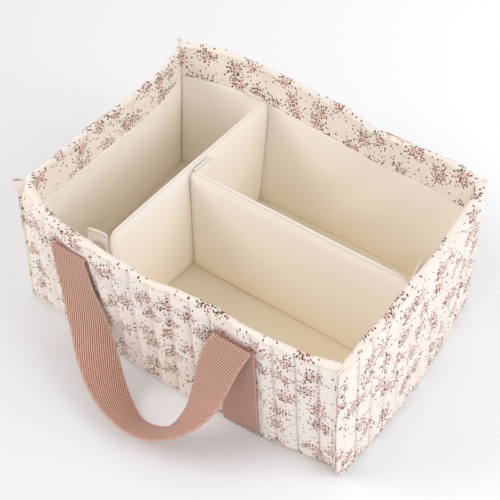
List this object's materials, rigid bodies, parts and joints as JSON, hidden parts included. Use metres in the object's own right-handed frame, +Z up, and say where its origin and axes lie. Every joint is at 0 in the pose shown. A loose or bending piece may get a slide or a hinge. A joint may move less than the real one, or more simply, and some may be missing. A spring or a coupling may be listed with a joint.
{
  "type": "diaper caddy",
  "caption": "Open soft tub of quilted printed cotton with padded lift-out dividers held by hook tabs, and a webbing handle on each long side.",
  "frame": {"origin": "under the middle of the base, on the surface that the caddy stands on", "axes": "+Z up, +X along the long walls towards the end that the long divider meets, -Y towards the front"},
  "size_m": [0.4001, 0.4361, 0.181],
  "materials": {
    "floral_cotton": "matt printed cotton, quilted",
    "lining_cotton": "matt plain cotton",
    "webbing": "matt woven cotton webbing",
    "padding": "matt foam sheet",
    "stiffener": "matt board",
    "hook_tape": "matt hook tape"
  },
  "bodies": {
    "root": {"outer_front_panel": "floral_cotton", "outer_back_panel": "floral_cotton", "outer_left_panel": "floral_cotton", "outer_right_panel": "floral_cotton", "outer_base_panel": "floral_cotton", "base_seam": "floral_cotton", "base_board": "stiffener", "base_foam": "padding", "base_lining": "lining_cotton", "front_foam": "padding", "back_foam": "padding", "left_foam": "padding", "right_foam": "padding", "front_lining": "lining_cotton", "back_lining": "lining_cotton", "left_lining": "lining_cotton", "right_lining": "lining_cotton", "front_facing": "floral_cotton", "back_facing": "floral_cotton", "left_facing": "floral_cotton", "right_facing": "floral_cotton", "front_left_corner_seam": "floral_cotton", "front_right_corner_seam": "floral_cotton", "back_left_corner_seam": "floral_cotton", "back_right_corner_seam": "floral_cotton", "front_left_strap": "webbing", "front_right_strap": "webbing", "back_left_strap": "webbing", "back_right_strap": "webbing"},
    "front_handle": {"front_handle": "webbing"},
    "back_handle": {"back_handle": "webbing"},
    "cross_divider": {"cross_divider_cover": "lining_cotton", "cross_divider_foam": "padding"},
    "cross_front_tab": {"cross_divider_front_tab": "lining_cotton", "cross_divider_front_hook_tape": "hook_tape"},
    "cross_back_tab": {"cross_divider_back_tab": "lining_cotton", "cross_divider_back_hook_tape": "hook_tape"},
    "long_divider": {"long_divider_cover": "lining_cotton", "long_divider_foam": "padding"},
    "long_left_tab": {"long_divider_left_tab": "lining_cotton", "long_divider_left_hook_tape": "hook_tape"},
    "long_right_tab": {"long_divider_right_tab": "lining_cotton", "long_divider_right_hook_tape": "hook_tape"}
  },
  "joints": [
    {"name": "front_handle_fold", "type": "hinge", "parent": "root", "child": "front_handle", "pos_m": [-0.0075, -0.15308, 0.152], "axis": [-1, 0, 0], "range_deg": [0, 160]},
    {"name": "back_handle_fold", "type": "hinge", "parent": "root", "child": "back_handle", "pos_m": [-0.0115, 0.15329, 0.152], "axis": [1, 0, 0], "range_deg": [0, 160]},
    {"name": "cross_divider_lift", "type": "slide", "parent": "root", "child": "cross_divider", "axis": [0, 0, 1], "range_m": [0, 0.17]},
    {"name": "long_divider_lift", "type": "slide", "parent": "root", "child": "long_divider", "axis": [0, 0, 1], "range_m": [0, 0.17]},
    {"name": "cross_front_tab_peel", "type": "hinge", "parent": "cross_divider", "child": "cross_front_tab", "pos_m": [-0.08711, -0.11184, 0.0107], "axis": [0, 0, -1], "range_deg": [0, 80]},
    {"name": "cross_back_tab_peel", "type": "hinge", "parent": "cross_divider", "child": "cross_back_tab", "pos_m": [-0.07445, 0.11787, 0.0107], "axis": [0, 0.0891, 0.996], "range_deg": [0, 80]},
    {"name": "long_left_tab_peel", "type": "hinge", "parent": "long_divider", "child": "long_left_tab", "pos_m": [-0.06989, 0.0039, 0.0107], "axis": [0, 0, -1], "range_deg": [0, 80]},
    {"name": "long_right_tab_peel", "type": "hinge", "parent": "long_divider", "child": "long_right_tab", "pos_m": [0.17327, 0.0032, 0.0107], "axis": [0, 0, 1], "range_deg": [0, 80]}
  ]
}
